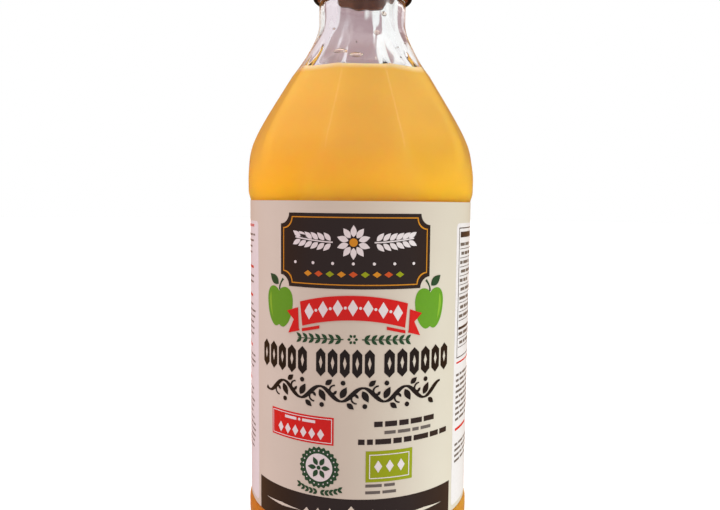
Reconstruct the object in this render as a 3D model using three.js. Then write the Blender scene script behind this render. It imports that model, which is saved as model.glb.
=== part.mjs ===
// A glass vinegar bottle with a screw cap, a wrap-around paper label and its fill of cloudy amber
// cider vinegar. Millimetres, +Z up. The origin is the middle of the ring that the bottle stands on,
// and the middle of the label's front faces -Y.
import * as THREE from 'three';
import { mergeVertices } from 'three/addons/utils/BufferGeometryUtils.js';

// Driving dimensions of the body
const bodyRadius = 36.5;
const heelBandRadius = 36.4;
const heelRadius = 8;
const heelBandTop = 11.4;
const panelRadius = 35.3;
const panelBottom = 12.9;
const panelTop = 109.7;
const shoulderBandBottom = 111.2;

// The shoulder: a round bulge that runs out into a cone, then a hollow curve up to the neck
const shoulderStart = 112.5;
const shoulderRound = 13.7;
const coneRadius = 21.97;
const coneHeight = 148.95;
const coneAngle = THREE.MathUtils.degToRad(31.55);
const coneRun = 22.7;
const throatRun = 1.5;
const throatRound = 7;
const neckRadius = 13.87;
const neckStart = 165.7;

// Ten flat panels round the shoulder
const panels = 10;
const ridgeAzimuth = THREE.MathUtils.degToRad(20);
const panelsFadeIn = [116, 126];
const panelsFadeOut = [155, 163];

// The mouth, under the cap
const neckTop = 172;
const finishRadius = 13.3;
const finishStart = 173;
const mouthHeight = 191.2;
const boreRadius = 8.8;
const lipRound = 0.8;

// Glass thickness, which grows from the shoulder to the neck
const wall = 2.8;
const neckWall = neckRadius - boreRadius;
const wallGrows = [150, 164];

// The base: a thick floor, crowned inside, over a shallow hollow within the ring that it stands on
const floorHeight = 5.4;
const floorCrown = 1.6;
const crownSpread = 0.45;
const crownFall = 0.75;
const innerHeelRadius = 6;
const standInner = 23.5;
const puntHeight = 2.2;
const puntSpread = 0.6;
const puntFall = 0.8;

// The fill, with a hair's clearance to the glass
const fillHeight = 148.6;
const clearance = 0.3;

// The label
const labelBottom = 13.65;
const labelTop = 108.95;
const labelThickness = 0.3;
const labelSeam = 4;

// The cap
const capBottom = 173.4;
const capHeight = 20;
const capRadius = 15.95;
const capBore = 14.2;
const capTopThickness = 1.7;
const capBandHeight = 3.8;
const capGroove = 0.7;
const capGrooveDepth = 0.6;
const capEdge = 1.4;
const capFootChamfer = 0.4;
const capGrooveChamfer = 0.3;
const ridgeSlope = 0.1;
const ribs = 36;
const ribDepth = 0.4;

// How finely round shapes are divided
const sidesPerPanel = 6;
const bottleSides = panels * sidesPerPanel;
const bulgeSteps = 10;
const throatSteps = 7;
const heelSteps = 5;
const innerHeelSteps = 4;
const capEdgeSteps = 3;
const lipSteps = 2;

const plain = { metalness: 0 };
const glassMaterial = new THREE.MeshStandardMaterial({
  ...plain, color: 0xdfe6e4, roughness: 0.05, transparent: true, opacity: 0.35,
});
const vinegarMaterial = new THREE.MeshStandardMaterial({ ...plain, color: 0xebaa45, roughness: 0.2 });
const labelMaterial = new THREE.MeshStandardMaterial({ ...plain, color: 0xd8c9b6, roughness: 0.6 });
const capMaterial = new THREE.MeshStandardMaterial({ ...plain, color: 0x1c1a1a, roughness: 0.4 });

// Points on a quarter turn or less, as [radius, height], from one angle to another
function arc(centreR, centreZ, radius, from, to, steps) {
  const points = [];
  for (let i = 0; i <= steps; i += 1) {
    const angle = THREE.MathUtils.degToRad(from + ((to - from) * i) / steps);
    points.push(new THREE.Vector2(centreR + radius * Math.cos(angle), centreZ + radius * Math.sin(angle)));
  }
  return points;
}

// The shoulder's outline, from the top of the body to the foot of the neck
function shoulderOutline() {
  const start = new THREE.Vector2(bodyRadius, shoulderStart);
  const turn = new THREE.Vector2(coneRadius, coneHeight);
  const end = new THREE.Vector2(neckRadius, neckStart);
  const slope = new THREE.Vector2(-Math.sin(coneAngle), Math.cos(coneAngle));
  const bulge = new THREE.CubicBezierCurve(
    start,
    new THREE.Vector2(bodyRadius, shoulderStart + shoulderRound),
    turn.clone().addScaledVector(slope, -coneRun),
    turn,
  );
  const throat = new THREE.CubicBezierCurve(
    turn,
    turn.clone().addScaledVector(slope, throatRun),
    new THREE.Vector2(neckRadius, neckStart - throatRound),
    end,
  );
  return [...bulge.getPoints(bulgeSteps), ...throat.getPoints(throatSteps).slice(1)];
}

// Thickness of the glass at a height
function wallAt(z) {
  return THREE.MathUtils.lerp(wall, neckWall, THREE.MathUtils.smoothstep(z, ...wallGrows));
}

// The inner wall beside an outline of the outer one, with a gap to the glass: each point moves towards
// the axis, square to the outline's own direction
function inset(points, gap) {
  return points.map((point, i) => {
    const before = points[Math.max(i - 1, 0)];
    const after = points[Math.min(i + 1, points.length - 1)];
    const along = after.clone().sub(before).normalize();
    const distance = wallAt(point.y) + gap;
    return new THREE.Vector2(point.x - along.y * distance, point.y + along.x * distance);
  });
}

// How strongly the panels show at a height, from 0 for round to 1 for flat
function panelWeight(z) {
  const fadeIn = THREE.MathUtils.smoothstep(z, ...panelsFadeIn);
  const fadeOut = THREE.MathUtils.smoothstep(z, ...panelsFadeOut);
  return fadeIn * (1 - fadeOut);
}

// Draws each point of the shoulder in, so that its panels are flat between the ridges
function pressPanels(geometry) {
  const position = geometry.getAttribute('position');
  const step = (2 * Math.PI) / panels;
  for (let i = 0; i < position.count; i += 1) {
    const x = position.getX(i);
    const y = position.getY(i);
    const turn = Math.atan2(x, -y) - ridgeAzimuth;
    const fromMiddle = THREE.MathUtils.euclideanModulo(turn, step) - step / 2;
    const flat = Math.cos(step / 2) / Math.cos(fromMiddle);
    const scale = THREE.MathUtils.lerp(1, flat, panelWeight(position.getZ(i)));
    position.setX(i, x * scale);
    position.setY(i, y * scale);
  }
}

// Turns loose triangles into one closed surface and leaves out those with no area
function closed(geometry) {
  geometry.deleteAttribute('normal');
  geometry.deleteAttribute('uv');
  const merged = mergeVertices(geometry, 1e-4);
  const index = Array.from(merged.getIndex().array);
  const kept = [];
  for (let i = 0; i < index.length; i += 3) {
    const [a, b, c] = index.slice(i, i + 3);
    if (a !== b && b !== c && c !== a) {
      kept.push(a, b, c);
    }
  }
  merged.setIndex(kept);
  merged.computeVertexNormals();
  return merged;
}

// Turns an outline of [radius, height] points about +Z, with a corner of the shape on the ridge
function revolve(outline, sides) {
  const geometry = new THREE.LatheGeometry(outline, sides, ridgeAzimuth);
  geometry.rotateX(Math.PI / 2);
  return geometry;
}

// The inside of the glass, from the middle of the floor up to the foot of the neck
function hollowOutline(gap) {
  const radius = bodyRadius - wall - gap;
  const corner = innerHeelRadius - gap;
  const floor = floorHeight + gap;
  return [
    new THREE.Vector2(0, floor + floorCrown),
    new THREE.Vector2(radius * crownSpread, floor + floorCrown * crownFall),
    ...arc(radius - corner, floor + corner, corner, -90, 0, innerHeelSteps),
    ...inset(shoulderOutline(), gap),
  ];
}

// The clear glass, with its panelled shoulder and the shallow recess that the label lies in
function makeBottle() {
  const outside = [
    new THREE.Vector2(0, puntHeight),
    new THREE.Vector2(standInner * puntSpread, puntHeight * puntFall),
    new THREE.Vector2(standInner, 0),
    ...arc(heelBandRadius - heelRadius, heelRadius, heelRadius, -90, 0, heelSteps),
    new THREE.Vector2(heelBandRadius, heelBandTop),
    new THREE.Vector2(panelRadius, panelBottom),
    new THREE.Vector2(panelRadius, panelTop),
    new THREE.Vector2(bodyRadius, shoulderBandBottom),
    ...shoulderOutline(),
    new THREE.Vector2(neckRadius, neckTop),
    new THREE.Vector2(finishRadius, finishStart),
    ...arc(finishRadius - lipRound, mouthHeight - lipRound, lipRound, 0, 90, lipSteps),
    ...arc(boreRadius + lipRound, mouthHeight - lipRound, lipRound, 90, 180, lipSteps),
  ];
  const inside = hollowOutline(0).reverse();
  const geometry = revolve([...outside, ...inside], bottleSides);
  pressPanels(geometry);
  const mesh = new THREE.Mesh(closed(geometry), glassMaterial);
  mesh.name = 'bottle';
  return mesh;
}

// The vinegar, up to its level in the shoulder
function makeVinegar() {
  const sides = hollowOutline(clearance).filter((point) => point.y < fillHeight);
  const below = sides[sides.length - 1];
  const rim = below.clone();
  rim.x -= (fillHeight - below.y) * Math.tan(coneAngle);
  rim.y = fillHeight;
  const outline = [...sides, rim, new THREE.Vector2(0, fillHeight)];
  const geometry = revolve(outline, bottleSides);
  pressPanels(geometry);
  const mesh = new THREE.Mesh(closed(geometry), vinegarMaterial);
  mesh.name = 'vinegar';
  return mesh;
}

// The paper label, wrapped round with its two ends just apart at the back
function makeLabel() {
  const inner = panelRadius + clearance;
  const outer = inner + labelThickness;
  const halfSeam = labelSeam / outer / 2;
  const start = Math.PI / 2 + halfSeam;
  const end = Math.PI / 2 + 2 * Math.PI - halfSeam;
  const shape = new THREE.Shape();
  shape.absarc(0, 0, outer, start, end, false);
  shape.absarc(0, 0, inner, end, start, true);
  shape.closePath();
  const geometry = new THREE.ExtrudeGeometry(shape, {
    depth: labelTop - labelBottom,
    bevelEnabled: false,
    curveSegments: bottleSides / 2,
  });
  const mesh = new THREE.Mesh(closed(geometry), labelMaterial);
  mesh.name = 'label';
  mesh.position.z = labelBottom;
  return mesh;
}

// The screw cap: a smooth band, a groove, and a ribbed skirt under a flat top
function makeCap() {
  const top = capHeight;
  const skirt = capBandHeight + capGroove;
  const outline = [
    new THREE.Vector2(capBore, 0),
    new THREE.Vector2(capRadius - capFootChamfer, 0),
    new THREE.Vector2(capRadius, capFootChamfer),
    new THREE.Vector2(capRadius, capBandHeight),
    new THREE.Vector2(capRadius - capGrooveDepth, capBandHeight + ridgeSlope),
    new THREE.Vector2(capRadius - capGrooveDepth, skirt),
    new THREE.Vector2(capRadius, skirt + capGrooveChamfer),
    ...arc(capRadius - capEdge, top - capEdge, capEdge, 0, 90, capEdgeSteps),
    new THREE.Vector2(0, top),
    new THREE.Vector2(0, top - capTopThickness),
    new THREE.Vector2(capBore, top - capTopThickness),
    new THREE.Vector2(capBore, 0),
  ];
  const geometry = revolve(outline, ribs * 2);
  const position = geometry.getAttribute('position');
  const step = Math.PI / ribs;
  for (let i = 0; i < position.count; i += 1) {
    const x = position.getX(i);
    const y = position.getY(i);
    const onSkirt = position.getZ(i) > skirt + ridgeSlope && position.getZ(i) < top - ridgeSlope;
    const outside = Math.hypot(x, y) > (capBore + capRadius) / 2;
    const side = Math.round((Math.atan2(x, -y) - ridgeAzimuth) / step);
    if (onSkirt && outside && side % 2 !== 0) {
      const scale = 1 - ribDepth / capRadius;
      position.setX(i, x * scale);
      position.setY(i, y * scale);
    }
  }
  const mesh = new THREE.Mesh(closed(geometry), capMaterial);
  mesh.name = 'cap';
  mesh.position.z = capBottom;
  return mesh;
}

const group = new THREE.Group();
group.name = 'vinegar_bottle';
group.add(makeBottle(), makeVinegar(), makeLabel(), makeCap());

export default group;
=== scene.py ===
"""Looks of a glass bottle of cloudy cider vinegar: clear panelled glass, its fill, a printed paper
wrap-around label and a black screw cap, modelled and finished around the packed model."""

import math
import random

import bpy
import numpy as np
from mathutils import Matrix, Vector, noise


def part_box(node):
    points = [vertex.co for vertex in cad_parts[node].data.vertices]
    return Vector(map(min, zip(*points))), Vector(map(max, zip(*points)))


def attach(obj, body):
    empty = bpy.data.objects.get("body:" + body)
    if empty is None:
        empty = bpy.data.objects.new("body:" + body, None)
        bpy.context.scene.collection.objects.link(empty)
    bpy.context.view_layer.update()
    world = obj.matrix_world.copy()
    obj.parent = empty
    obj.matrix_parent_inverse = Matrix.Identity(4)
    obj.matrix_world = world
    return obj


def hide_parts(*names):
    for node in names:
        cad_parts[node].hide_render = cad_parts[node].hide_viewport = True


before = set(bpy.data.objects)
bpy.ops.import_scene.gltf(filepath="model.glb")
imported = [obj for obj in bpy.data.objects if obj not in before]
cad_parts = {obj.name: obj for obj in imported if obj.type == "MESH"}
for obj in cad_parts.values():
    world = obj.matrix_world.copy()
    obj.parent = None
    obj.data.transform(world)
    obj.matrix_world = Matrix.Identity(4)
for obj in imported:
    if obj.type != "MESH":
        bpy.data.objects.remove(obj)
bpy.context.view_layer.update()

bl_info = {
    "name": "Vinegar Bottle",
    "version": (1, 0, 0),
    "blender": (4, 5, 0),
    "location": "3D View > Sidebar > Bottle",
    "description": "Builds a labelled glass bottle of cloudy vinegar piece by piece",
    "category": "Add Mesh",
}

MM = 0.001
BODY = "root"
MOUTH_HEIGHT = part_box("bottle")[1].z
FILL_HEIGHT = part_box("vinegar")[1].z
LABEL_BOTTOM, LABEL_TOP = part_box("label")[0].z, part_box("label")[1].z
CAP_BOTTOM, CAP_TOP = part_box("cap")[0].z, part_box("cap")[1].z


def linear(code):
    """The linear colour of an sRGB hex code such as '#EBAA45'."""
    channels = [int(code[i : i + 2], 16) / 255 for i in (1, 3, 5)]
    return tuple(c / 12.92 if c <= 0.04045 else ((c + 0.055) / 1.055) ** 2.4 for c in channels)


def length(name, millimetres, description):
    """A length property whose default is given in millimetres."""
    return bpy.props.FloatProperty(
        name=name, description=description, default=millimetres * MM, unit="LENGTH", precision=5
    )


def colour(name, code, description):
    """A colour property whose default is given as an sRGB hex code."""
    return bpy.props.FloatVectorProperty(
        name=name, description=description, default=linear(code), subtype="COLOR", size=3, min=0, max=1
    )


def angle(name, degrees, description):
    """An angle property whose default is given in degrees."""
    return bpy.props.FloatProperty(
        name=name, description=description, default=math.radians(degrees), subtype="ANGLE"
    )


class GlassSettings(bpy.types.PropertyGroup):
    """Sizes and colour of the clear glass."""

    body_radius: length("Body radius", 36.5, "Radius of the band above the label")
    heel_radius: length("Heel", 8, "Radius of the rounded heel")
    panel_radius: length("Label panel", 35.8, "Radius of the recess that the label lies in")
    stand_radius: length("Stand", 23.5, "Radius of the ring that the bottle stands on")
    neck_radius: length("Neck", 13.87, "Radius of the straight neck")
    finish_radius: length("Finish", 13.3, "Outer radius of the mouth, inside the cap")
    bore_radius: length("Bore", 8.8, "Radius of the way through the neck, where the glass is thickest")
    wall: length("Wall", 2.8, "Thickness of the glass, up to the shoulder")
    floor: length("Floor", 5.4, "Height of the inside above the table, at its edge")
    ripple: length("Ripple", 0.45, "Waviness of the inner wall above the fill")
    level_ripple: length("Level ripple", 0.2, "Finer, level waves up the neck")
    panels: bpy.props.IntProperty(name="Panels", description="Flats round the shoulder", default=10)
    ridge: angle("Ridge azimuth", 20, "Where one ridge between two panels lies")
    tint: colour("Glass", "#FDFEFE", "Colour of the glass, looked through")


class VinegarSettings(bpy.types.PropertyGroup):
    """Colours of the vinegar."""

    amber: colour("Amber", "#E1B044", "Cloudy vinegar in a thick layer")
    # Painted light: the colour just above the label is made brighter and more saturated, as a painted glow
    painted_glow: colour("Deep amber", "#FFC22B", "Vinegar just above the label, brighter and more saturated")
    # Painted shade: the colour behind the label is made darker for the shadow that the label casts
    behind: colour("Behind the label", "#C66E18", "Vinegar that the label shades")
    film: colour("Film", "#F6DDB4", "Thin film that climbs the glass at the level")
    drop: colour("Drops", "#FFF1E6", "Drops left on the glass above the level")


class LabelSettings(bpy.types.PropertyGroup):
    """Sizes of the paper, and the colours of its grounds and inks."""

    radius: length("Label radius", 35.93, "Radius of the label's printed face")
    paper: length("Paper", 0.11, "Thickness of the paper and its glue")
    seam: length("Seam", 4, "Gap between the label's two ends at the back")
    field: length("Field", 70.5, "Width of the cream front field")
    turn: length("Turn", -1.8, "How far the print's middle lies round from the front")
    cream: colour("Cream", "#CAC5B8", "Cream ground of the front field")
    white: colour("White", "#DAD8DB", "White ground of the side panels")
    black: colour("Black", "#231B1B", "Warm black ink")
    jet: colour("Jet black", "#0F0B0B", "Deeper black ink of the big row and the scroll")
    red: colour("Red", "#C80B09", "Red ink")
    green: colour("Green", "#5A941A", "Apple green ink")
    light_green: colour("Light green", "#7DAD28", "Lit side of the apples")
    dark_green: colour("Dark green", "#1A4427", "Dark green ink")
    lime: colour("Lime", "#8C9A00", "Yellow-green ink")
    gold: colour("Gold", "#C88619", "Gold-yellow ink")
    orange: colour("Orange", "#C14E19", "Orange ink")
    grey: colour("Grey", "#5F5A57", "Small grey print")


class CapSettings(bpy.types.PropertyGroup):
    """Sizes and colour of the screw cap."""

    radius: length("Cap radius", 15.95, "Outer radius of the band and the ribs")
    bore: length("Cap bore", 14.2, "Inner radius of the skirt")
    top: length("Top", 1.7, "Thickness of the cap's top")
    band: length("Band", 3.8, "Height of the smooth band")
    groove: length("Groove", 0.7, "Height of the groove above the band")
    rib_depth: length("Rib depth", 0.4, "Depth of the grip ribs")
    ribs: bpy.props.IntProperty(name="Ribs", description="Grip ribs round the skirt", default=90)
    plastic: colour("Plastic", "#120908", "Brownish black cap plastic")
    # Painted light: the inside of the skirt is a lighter brown than the black plastic, standing in for
    # light on it
    inside: colour("Inside", "#724027", "Inside of the skirt, where light gets in and shows the brown")


class StageSettings(bpy.types.PropertyGroup):
    """Camera, floor and light."""

    camera: bpy.props.FloatVectorProperty(
        name="Camera",
        description="Place of the camera",
        default=(0, -0.2053, 0.1083),
        subtype="TRANSLATION",
    )
    pitch: angle("Pitch", 4.78, "How far the camera looks down")
    roll: angle("Roll", 0.583, "How far the camera leans")
    lens: bpy.props.FloatProperty(name="Lens", description="Focal length in mm", default=30.85)
    floor: colour("Floor", "#F6F6F6", "Pale floor")
    back: colour("Back wall", "#B1979D", "Mauve-grey wall that shows through the glass")
    rose: colour("Rose", "#EEE4EB", "Rosy white strip to the left of it")
    front: colour("Front", "#BCA9A5", "The room in front, which shows in the gloss")
    dim: colour("Dim", "#8A7C7E", "The room's dim corners behind the bottle")
    shade: colour("Shade", "#B98350", "Tan screens beside the bottle, which show in its gloss")


def add_node(tree, kind, inputs=None, **settings):
    """Adds a shader node with its settings; an input is a value or the output that feeds it."""
    node = tree.nodes.new(kind)
    for name, value in settings.items():
        setattr(node, name, value)
    for name, value in (inputs or {}).items():
        if isinstance(value, bpy.types.NodeSocket):
            tree.links.new(value, node.inputs[name])
        else:
            node.inputs[name].default_value = value
    return node


# Where a Mix node keeps its two colours among its inputs, and the mixed colour among its outputs
MIX_A, MIX_B, MIXED = 6, 7, 2


def new_material(name):
    """An empty node material and its tree."""
    material = bpy.data.materials.new(name)
    material.use_nodes = True
    material.node_tree.nodes.clear()
    return material, material.node_tree


def rgba(value, strength=1.0):
    """A colour, lighter or darker by a factor, with full alpha."""
    return (*(min(1, strength * c) for c in value), 1)


def flint_glass(settings):
    """Flint glass, blown in a mould: colourless and smooth, with the faint waviness of the mould."""
    material, tree = new_material("flint_glass")
    place = add_node(tree, "ShaderNodeTexCoord")
    waves = add_node(
        tree, "ShaderNodeTexNoise", {"Vector": place.outputs["Object"], "Scale": 1 / (9 * MM), "Detail": 1}
    )
    bump = add_node(
        tree, "ShaderNodeBump", {"Height": waves.outputs["Fac"], "Distance": 0.08 * MM, "Strength": 0.5}
    )
    glass = add_node(
        tree,
        "ShaderNodeBsdfPrincipled",
        {
            "Base Color": rgba(settings.tint),
            "Roughness": 0.02,
            "IOR": 1.52,
            "Transmission Weight": 1.0,
            "Normal": bump.outputs["Normal"],
        },
    )
    clear = add_node(tree, "ShaderNodeBsdfTransparent", {"Color": rgba(settings.tint)})
    path = add_node(tree, "ShaderNodeLightPath")
    mix = add_node(
        tree,
        "ShaderNodeMixShader",
        {0: path.outputs["Is Shadow Ray"], 1: glass.outputs[0], 2: clear.outputs[0]},
    )
    add_node(tree, "ShaderNodeOutputMaterial", {"Surface": mix.outputs[0]})
    return material


# The vinegar's cloudy patches, which carry painted shade towards the sides: how far left of the axis
# they are thinnest, how far aside of there they begin and are whole, and how dark they are beside clear
# vinegar
SIDE_SHADE_LEFT = 9 * MM
SIDE_SHADE_FADE_IN = (3 * MM, 45 * MM)
SIDE_SHADE_TONE = 0.6

# The pale rim at the vinegar's level: how far under it the film fades in, and how much of it shows
RIM_FADE_IN = (1.9 * MM, 0.1 * MM)
RIM_SHARE = 0.75


def cloudy_vinegar(settings):
    """Unfiltered cider vinegar: cloudy amber that light soaks into, with a painted glow just above the
    label, painted shade behind it, and mottled painted shade towards the sides.
    """
    material, tree = new_material("cloudy_vinegar")
    place = add_node(tree, "ShaderNodeTexCoord")
    parts = add_node(tree, "ShaderNodeSeparateXYZ", {"Vector": place.outputs["Object"]})
    cloud = add_node(
        tree,
        "ShaderNodeTexNoise",
        {"Vector": place.outputs["Object"], "Scale": 1 / (22 * MM), "Detail": 1.5},
    )
    # Painted shade: the cloudy patches lie thicker towards the sides, and most on the right, so the vinegar
    # is darker there
    off_centre = add_node(
        tree, "ShaderNodeMath", {0: parts.outputs["X"], 1: SIDE_SHADE_LEFT}, operation="ADD"
    )
    aside = add_node(tree, "ShaderNodeMath", {0: off_centre.outputs[0]}, operation="ABSOLUTE")
    painted_side_shade = add_node(
        tree,
        "ShaderNodeMapRange",
        {"Value": aside.outputs[0], "From Min": SIDE_SHADE_FADE_IN[0], "From Max": SIDE_SHADE_FADE_IN[1]},
    )
    cloud_and_side_shade = add_node(
        tree,
        "ShaderNodeMath",
        {0: cloud.outputs["Fac"], 1: painted_side_shade.outputs["Result"]},
        operation="MULTIPLY",
    )
    share = add_node(
        tree,
        "ShaderNodeMapRange",
        {"Value": parts.outputs["Z"], "From Min": 0.0, "From Max": FILL_HEIGHT},
    )
    # Painted shade and light: the label keeps light out, so the vinegar behind it is painted darker,
    # and just above its edge it is painted brighter, as a glow; higher up it is amber, a little lighter
    # 15 mm above the label and again at the level
    levels = add_node(tree, "ShaderNodeValToRGB", {"Fac": share.outputs["Result"]})
    stops = (
        (LABEL_TOP - 12 * MM, rgba(settings.behind)),
        (LABEL_TOP, rgba(settings.painted_glow)),
        (LABEL_TOP + 4 * MM, rgba(settings.painted_glow)),
        (LABEL_TOP + 15 * MM, rgba(settings.amber, 1.08)),
        (LABEL_TOP + 26 * MM, rgba(settings.amber)),
        (FILL_HEIGHT, rgba(settings.amber, 1.05)),
    )
    while len(levels.color_ramp.elements) < len(stops):
        levels.color_ramp.elements.new(0.5)
    for element, (level, tone) in zip(levels.color_ramp.elements, stops):
        element.position = level / FILL_HEIGHT
        element.color = tone
    body = add_node(
        tree,
        "ShaderNodeMix",
        {0: cloud_and_side_shade.outputs[0], MIX_A: levels.outputs["Color"], MIX_B: rgba(settings.amber, SIDE_SHADE_TONE)},
        data_type="RGBA",
    )
    rim = add_node(
        tree,
        "ShaderNodeMapRange",
        {
            "Value": parts.outputs["Z"],
            "From Min": FILL_HEIGHT - RIM_FADE_IN[0],
            "From Max": FILL_HEIGHT - RIM_FADE_IN[1],
            "To Min": 0.0,
            "To Max": RIM_SHARE,
        },
        interpolation_type="SMOOTHSTEP",
    )
    whole = add_node(
        tree,
        "ShaderNodeMix",
        {0: rim.outputs["Result"], MIX_A: body.outputs[MIXED], MIX_B: rgba(settings.film)},
        data_type="RGBA",
    )
    liquid = add_node(
        tree,
        "ShaderNodeBsdfPrincipled",
        {
            "Base Color": whole.outputs[MIXED],
            "Roughness": 0.12,
            "IOR": 1.34,
            "Specular IOR Level": 0.15,
            "Subsurface Weight": 0.85,
            "Subsurface Radius": (1.0, 0.62, 0.25),
            "Subsurface Scale": 16 * MM,
        },
    )
    add_node(tree, "ShaderNodeOutputMaterial", {"Surface": liquid.outputs[0]})
    return material


def vinegar_drops(settings):
    """Thin drops of vinegar on the glass: nearly clear, with a peach cast."""
    material, tree = new_material("vinegar_drops")
    place = add_node(tree, "ShaderNodeTexCoord")
    cloud = add_node(
        tree,
        "ShaderNodeTexNoise",
        {"Vector": place.outputs["Object"], "Scale": 1 / (1.5 * MM), "Detail": 1},
    )
    tone = add_node(
        tree,
        "ShaderNodeMix",
        {0: cloud.outputs["Fac"], MIX_A: rgba(settings.drop), MIX_B: rgba(settings.drop, 0.85)},
        data_type="RGBA",
    )
    drop = add_node(
        tree,
        "ShaderNodeBsdfPrincipled",
        {"Base Color": tone.outputs[MIXED], "Roughness": 0.04, "IOR": 1.34, "Transmission Weight": 0.93},
    )
    add_node(tree, "ShaderNodeOutputMaterial", {"Surface": drop.outputs[0]})
    return material


def coated_paper(settings):
    """Coated label paper under a satin varnish: a faint tooth, a slight cloudiness and a soft sheen."""
    material, tree = new_material("coated_paper")
    place = add_node(tree, "ShaderNodeTexCoord")
    cloud = add_node(
        tree, "ShaderNodeTexNoise", {"Vector": place.outputs["Object"], "Scale": 1 / (14 * MM), "Detail": 3}
    )
    tone = add_node(
        tree,
        "ShaderNodeMix",
        {0: cloud.outputs["Fac"], MIX_A: rgba(settings.cream, 0.96), MIX_B: rgba(settings.cream, 1.03)},
        data_type="RGBA",
    )
    # The fibres' tooth is drawn about three times as coarse as it is, so that it shows at all
    tooth = add_node(
        tree,
        "ShaderNodeTexNoise",
        {"Vector": place.outputs["Object"], "Scale": 1 / (0.4 * MM), "Detail": 3},
    )
    bump = add_node(
        tree, "ShaderNodeBump", {"Height": tooth.outputs["Fac"], "Distance": 0.01 * MM, "Strength": 0.35}
    )
    paper = add_node(
        tree,
        "ShaderNodeBsdfPrincipled",
        {
            "Base Color": tone.outputs[MIXED],
            "Roughness": 0.42,
            "IOR": 1.5,
            "Coat Weight": 0.25,
            "Coat Roughness": 0.22,
            "Normal": bump.outputs["Normal"],
        },
    )
    add_node(tree, "ShaderNodeOutputMaterial", {"Surface": paper.outputs[0]})
    return material


def offset_ink(name, value):
    """Offset ink under the varnish: solid, with the faint mottle that paper gives it."""
    material, tree = new_material(name)
    place = add_node(tree, "ShaderNodeTexCoord")
    mottle = add_node(
        tree,
        "ShaderNodeTexNoise",
        {"Vector": place.outputs["Object"], "Scale": 1 / (0.8 * MM), "Detail": 4},
    )
    tone = add_node(
        tree,
        "ShaderNodeMix",
        {0: mottle.outputs["Fac"], MIX_A: rgba(value, 0.92), MIX_B: rgba(value, 1.08)},
        data_type="RGBA",
    )
    dried = add_node(
        tree,
        "ShaderNodeBsdfPrincipled",
        {
            "Base Color": tone.outputs[MIXED],
            "Roughness": 0.4,
            "IOR": 1.5,
            "Specular IOR Level": 0.3,
            "Coat Weight": 0.2,
            "Coat Roughness": 0.2,
        },
    )
    add_node(tree, "ShaderNodeOutputMaterial", {"Surface": dried.outputs[0]})
    return material


# The cap's brown inside, which is painted light, goes over into its black outside this far into the skirt,
# and into the top
SKIRT_EDGE = (0.1 * MM, 0.5 * MM)
TOP_EDGE = (0.2 * MM, 0.6 * MM)


def cap_polypropylene(settings):
    """Black polypropylene, injection moulded: satin, with a fine spark-eroded grain, and painted light on
    the inside: a lighter brown that stands in for light reaching it."""
    material, tree = new_material("cap_polypropylene")
    place = add_node(tree, "ShaderNodeTexCoord")
    spark = add_node(
        tree,
        "ShaderNodeTexNoise",
        {"Vector": place.outputs["Object"], "Scale": 1 / (0.3 * MM), "Detail": 2},
    )
    bump = add_node(
        tree, "ShaderNodeBump", {"Height": spark.outputs["Fac"], "Distance": 0.02 * MM, "Strength": 0.6}
    )
    flow = add_node(
        tree, "ShaderNodeTexNoise", {"Vector": place.outputs["Object"], "Scale": 1 / (5 * MM), "Detail": 3}
    )
    parts = add_node(tree, "ShaderNodeSeparateXYZ", {"Vector": place.outputs["Object"]})
    level = add_node(
        tree, "ShaderNodeCombineXYZ", {"X": parts.outputs["X"], "Y": parts.outputs["Y"]}
    )
    radius = add_node(tree, "ShaderNodeVectorMath", {0: level.outputs["Vector"]}, operation="LENGTH")
    around = add_node(
        tree,
        "ShaderNodeMapRange",
        {
            "Value": radius.outputs["Value"],
            "From Min": settings.bore + SKIRT_EDGE[0],
            "From Max": settings.bore + SKIRT_EDGE[1],
        },
    )
    over = add_node(
        tree,
        "ShaderNodeMapRange",
        {
            "Value": parts.outputs["Z"],
            "From Min": CAP_TOP - settings.top + TOP_EDGE[0],
            "From Max": CAP_TOP - settings.top + TOP_EDGE[1],
        },
    )
    outside = add_node(
        tree,
        "ShaderNodeMath",
        {0: around.outputs["Result"], 1: over.outputs["Result"]},
        operation="MAXIMUM",
    )
    skin = add_node(
        tree,
        "ShaderNodeMix",
        {0: flow.outputs["Fac"], MIX_A: rgba(settings.plastic, 0.8), MIX_B: rgba(settings.plastic, 1.35)},
        data_type="RGBA",
    )
    painted_light_inside = add_node(
        tree,
        "ShaderNodeMix",
        {0: flow.outputs["Fac"], MIX_A: rgba(settings.inside, 0.6), MIX_B: rgba(settings.inside, 1.5)},
        data_type="RGBA",
    )
    tone = add_node(
        tree,
        "ShaderNodeMix",
        {0: outside.outputs[0], MIX_A: painted_light_inside.outputs[MIXED], MIX_B: skin.outputs[MIXED]},
        data_type="RGBA",
    )
    plastic = add_node(
        tree,
        "ShaderNodeBsdfPrincipled",
        {
            "Base Color": tone.outputs[MIXED],
            "Roughness": 0.62,
            "IOR": 1.49,
            "Specular IOR Level": 0.05,
            "Normal": bump.outputs["Normal"],
        },
    )
    add_node(tree, "ShaderNodeOutputMaterial", {"Surface": plastic.outputs[0]})
    return material


def matte_floor(settings):
    """Matte paint on the studio floor."""
    material, tree = new_material("matte_floor")
    paint = add_node(
        tree,
        "ShaderNodeBsdfPrincipled",
        {"Base Color": rgba(settings.floor), "Roughness": 0.9, "Specular IOR Level": 0.1},
    )
    add_node(tree, "ShaderNodeOutputMaterial", {"Surface": paint.outputs[0]})
    return material


def arc(centre_r, centre_z, radius, start, end, steps):
    """Points on a round stretch of an outline, from one angle in degrees to another."""
    points = []
    for i in range(steps + 1):
        turn = math.radians(start + (end - start) * i / steps)
        points.append((centre_r + radius * math.cos(turn), centre_z + radius * math.sin(turn)))
    return points


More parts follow.
